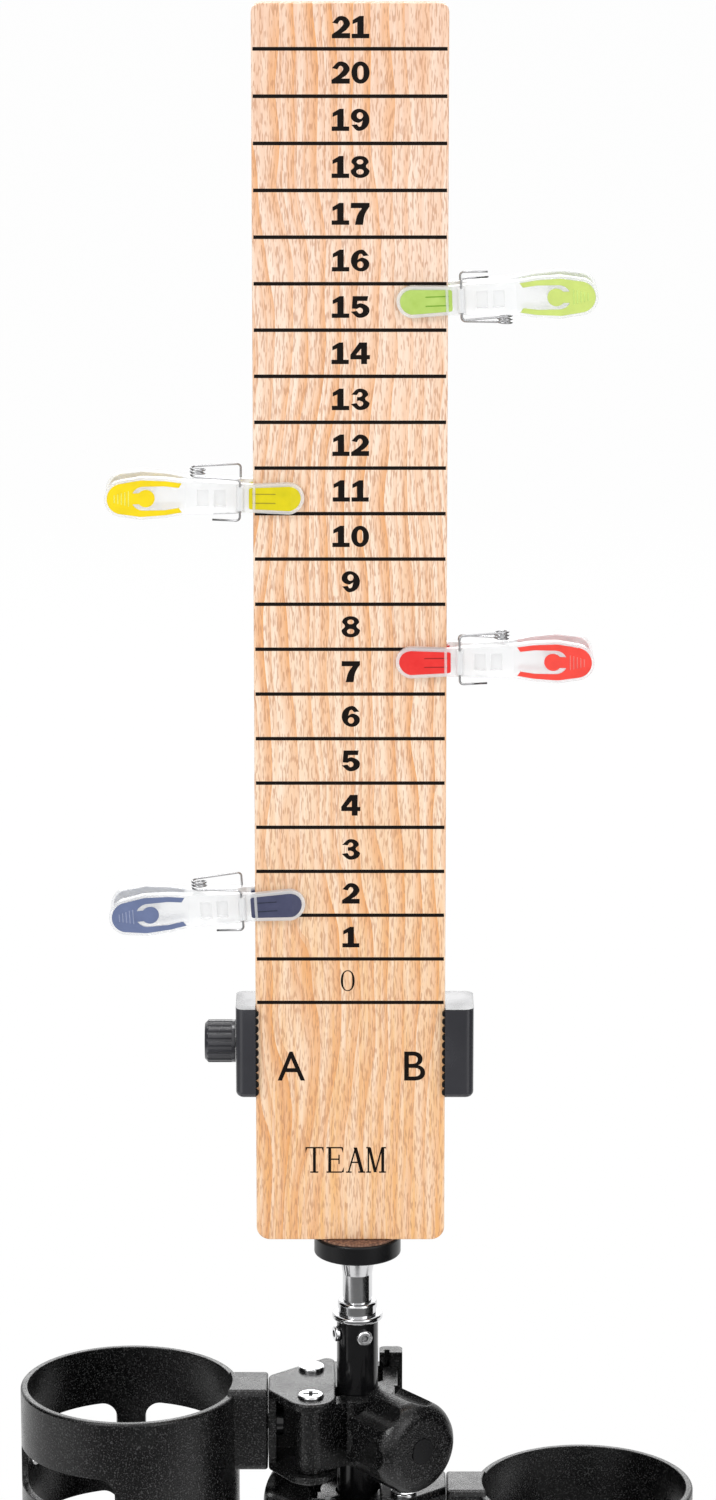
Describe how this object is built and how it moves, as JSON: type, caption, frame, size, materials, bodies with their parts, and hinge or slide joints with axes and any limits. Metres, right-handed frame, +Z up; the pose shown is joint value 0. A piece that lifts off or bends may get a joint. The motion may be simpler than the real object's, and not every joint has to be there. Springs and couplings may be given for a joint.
{
  "type": "cornhole scoreboard",
  "caption": "Upright wooden score stick with sliding spring pegs, in a clamp holder on a pole that also carries clamped cup holders.",
  "frame": {"origin": "centre of the pole's foot", "axes": "+Z up along the pole, the printed face looks to -Y, +X to the right of someone reading it"},
  "size_m": [0.262, 0.085, 0.6741],
  "materials": {
    "beech": "satin",
    "black_plastic": "semi-gloss",
    "grained_plastic": "fine grain",
    "black_rubber": "matte",
    "black_tube": "gloss paint",
    "deck_black": "satin",
    "cork": "matte",
    "chrome": "polished",
    "steel": "brushed",
    "clear_plastic": "clear gloss",
    "green_soft": "satin",
    "yellow_soft": "satin",
    "red_soft": "satin",
    "navy_soft": "satin"
  },
  "bodies": {
    "pole": {"pole_tube": "black_tube", "pole_screws": "chrome", "spigot": "chrome", "platform_disc": "deck_black", "cork_pad": "cork"},
    "board_holder": {"holder_frame": "black_plastic", "fixed_jaw_pad": "black_rubber"},
    "jaw": {"sliding_jaw": "black_plastic", "sliding_jaw_pad": "black_rubber", "guide_rods": "steel"},
    "jaw_knob": {"jaw_knob": "black_plastic", "jaw_screw": "steel"},
    "board": {"scoreboard": "beech"},
    "green_peg": {"green_peg_front": "clear_plastic", "green_peg_front_pads": "green_soft", "green_peg_spring": "steel"},
    "green_peg_lever": {"green_peg_back": "clear_plastic", "green_peg_back_pads": "green_soft"},
    "yellow_peg": {"yellow_peg_front": "clear_plastic", "yellow_peg_front_pads": "yellow_soft", "yellow_peg_spring": "steel"},
    "yellow_peg_lever": {"yellow_peg_back": "clear_plastic", "yellow_peg_back_pads": "yellow_soft"},
    "red_peg": {"red_peg_front": "clear_plastic", "red_peg_front_pads": "red_soft", "red_peg_spring": "steel"},
    "red_peg_lever": {"red_peg_back": "clear_plastic", "red_peg_back_pads": "red_soft"},
    "navy_peg": {"navy_peg_front": "clear_plastic", "navy_peg_front_pads": "navy_soft", "navy_peg_spring": "steel"},
    "navy_peg_lever": {"navy_peg_back": "clear_plastic", "navy_peg_back_pads": "navy_soft"},
    "upper_clamp": {"upper_clamp_body": "grained_plastic", "upper_hinge_screw": "chrome", "upper_rivet": "chrome", "upper_rear_jaw": "grained_plastic", "upper_swivel_bolt": "black_tube"},
    "upper_arm": {"upper_swing_arm": "grained_plastic"},
    "upper_pad": {"upper_press_pad": "black_rubber"},
    "upper_knob": {"upper_press_screw": "steel", "upper_star_knob": "grained_plastic", "upper_star_cap": "black_plastic"},
    "upper_holder": {"upper_cup_holder": "grained_plastic"},
    "lower_clamp": {"lower_clamp_body": "grained_plastic", "lower_hinge_screw": "chrome", "lower_rivet": "chrome", "lower_rear_jaw": "grained_plastic", "lower_swivel_bolt": "black_tube"},
    "lower_arm": {"lower_swing_arm": "grained_plastic"},
    "lower_pad": {"lower_press_pad": "black_rubber"},
    "lower_knob": {"lower_press_screw": "steel", "lower_star_knob": "grained_plastic", "lower_star_cap": "black_plastic"},
    "lower_holder": {"lower_cup_holder": "grained_plastic"}
  },
  "joints": [
    {"name": "holder_turn", "type": "hinge", "parent": "pole", "child": "board_holder", "pos_m": [0, 0, 0.1995], "axis": [0, 0, 1], "range_deg": [-180, 180]},
    {"name": "jaw_slide", "type": "slide", "parent": "board_holder", "child": "jaw", "axis": [-1, 0, 0], "range_m": [0, 0.012]},
    {"name": "jaw_knob_turn", "type": "hinge", "parent": "jaw", "child": "jaw_knob", "pos_m": [-0.0463, 0.004, 0.27525], "axis": [-1, 0, 0], "range_deg": [0, 2160]},
    {"name": "board_lift", "type": "slide", "parent": "board_holder", "child": "board", "axis": [0, 0, 1], "range_m": [0, 0.04]},
    {"name": "green_peg_slide", "type": "slide", "parent": "board", "child": "green_peg", "axis": [0, 0, 1], "range_m": [-0.07, 0.095]},
    {"name": "green_peg_squeeze", "type": "hinge", "parent": "green_peg", "child": "green_peg_lever", "pos_m": [0.04529, -0.0075, 0.56596], "axis": [0.0384, 0, -0.9993], "range_deg": [0, 12], "stiffness_Nm_per_rad": 0.5, "springref_deg": -20.05, "deforming": ["green_peg_spring"]},
    {"name": "yellow_peg_slide", "type": "slide", "parent": "board", "child": "yellow_peg", "axis": [0, 0, 1], "range_m": [-0.07, 0.165]},
    {"name": "yellow_peg_squeeze", "type": "hinge", "parent": "yellow_peg", "child": "yellow_peg_lever", "pos_m": [-0.0507, -0.0075, 0.49148], "axis": [0.007, 0, 1], "range_deg": [0, 12], "stiffness_Nm_per_rad": 0.5, "springref_deg": -20.05, "deforming": ["yellow_peg_spring"]},
    {"name": "red_peg_slide", "type": "slide", "parent": "board", "child": "red_peg", "axis": [0, 0, 1], "range_m": [-0.12, 0.042]},
    {"name": "red_peg_squeeze", "type": "hinge", "parent": "red_peg", "child": "red_peg_lever", "pos_m": [0.0453, -0.0075, 0.42903], "axis": [0.0105, 0, -0.9999], "range_deg": [0, 12], "stiffness_Nm_per_rad": 0.5, "springref_deg": -20.05, "deforming": ["red_peg_spring"]},
    {"name": "navy_peg_slide", "type": "slide", "parent": "board", "child": "navy_peg", "axis": [0, 0, 1], "range_m": [-0.022, 0.062]},
    {"name": "navy_peg_squeeze", "type": "hinge", "parent": "navy_peg", "child": "navy_peg_lever", "pos_m": [-0.05067, -0.0075, 0.33291], "axis": [-0.0663, 0, 0.9978], "range_deg": [0, 12], "stiffness_Nm_per_rad": 0.5, "springref_deg": -20.05, "deforming": ["navy_peg_spring"]},
    {"name": "upper_clamp_turn", "type": "hinge", "parent": "pole", "child": "upper_clamp", "pos_m": [0, 0, 0.1215], "axis": [0, 0, 1], "range_deg": [-25, 25]},
    {"name": "upper_arm_swing", "type": "hinge", "parent": "upper_clamp", "child": "upper_arm", "pos_m": [-0.018, -0.017, 0.1215], "axis": [0, 0, -1], "range_deg": [0, 70]},
    {"name": "upper_press", "type": "slide", "parent": "upper_arm", "child": "upper_pad", "axis": [0.6157, -0.788, 0], "range_m": [0, 0.003]},
    {"name": "upper_knob_turn", "type": "hinge", "parent": "upper_pad", "child": "upper_knob", "pos_m": [0.01847, -0.02364, 0.1215], "axis": [0.6157, -0.788, 0], "range_deg": [0, 864]},
    {"name": "upper_holder_swivel", "type": "hinge", "parent": "upper_clamp", "child": "upper_holder", "pos_m": [-0.0345, -0.0005, 0.1215], "axis": [1, 0, 0], "range_deg": [-90, 90]},
    {"name": "lower_clamp_turn", "type": "hinge", "parent": "pole", "child": "lower_clamp", "pos_m": [0, 0, 0.0795], "axis": [0, 0, 1], "range_deg": [-25, 25]},
    {"name": "lower_arm_swing", "type": "hinge", "parent": "lower_clamp", "child": "lower_arm", "pos_m": [0.018, 0.017, 0.0795], "axis": [0, 0, -1], "range_deg": [0, 70]},
    {"name": "lower_press", "type": "slide", "parent": "lower_arm", "child": "lower_pad", "axis": [-0.6157, 0.788, 0], "range_m": [0, 0.003]},
    {"name": "lower_knob_turn", "type": "hinge", "parent": "lower_pad", "child": "lower_knob", "pos_m": [-0.01847, 0.02364, 0.0795], "axis": [-0.6157, 0.788, 0], "range_deg": [0, 864]},
    {"name": "lower_holder_swivel", "type": "hinge", "parent": "lower_clamp", "child": "lower_holder", "pos_m": [0.0345, 0.0005, 0.0795], "axis": [1, 0, 0], "range_deg": [-90, 90]}
  ],
  "couplings": [
    {"joint": "jaw_knob_turn", "follows": "jaw_slide", "rad_per_m": 3141.6},
    {"joint": "upper_press", "follows": "upper_knob_turn", "m_per_rad": 0.00019894},
    {"joint": "lower_press", "follows": "lower_knob_turn", "m_per_rad": 0.00019894}
  ]
}
